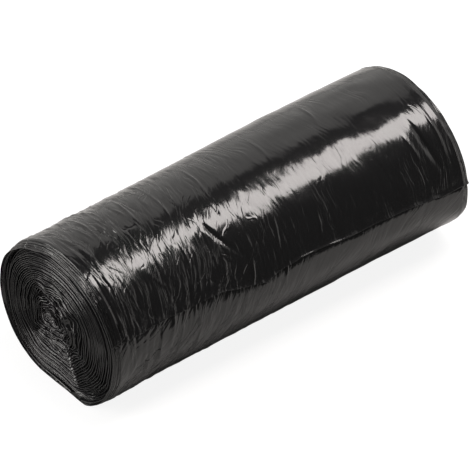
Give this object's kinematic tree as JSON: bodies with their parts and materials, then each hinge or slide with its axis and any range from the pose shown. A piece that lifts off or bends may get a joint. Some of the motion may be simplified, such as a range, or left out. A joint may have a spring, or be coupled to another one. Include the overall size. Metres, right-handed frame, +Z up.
{
  "type": "refuse sack roll",
  "caption": "Coreless roll of black plastic refuse sacks, one folded web of glossy film wound on itself and settled on its flat.",
  "frame": {"origin": "centre of the flat that the roll rests on, at floor level, midway along the roll", "axes": "+X along the roll, away from the end shown nearest in use, +Z up, and the loose tail edge of the web is on the -Y side"},
  "size_m": [0.229, 0.093, 0.081],
  "materials": {
    "black_film": "glossy low-density polythene film with fine creases"
  },
  "bodies": {
    "root": {"bag_roll": "black_film"}
  },
  "joints": []
}
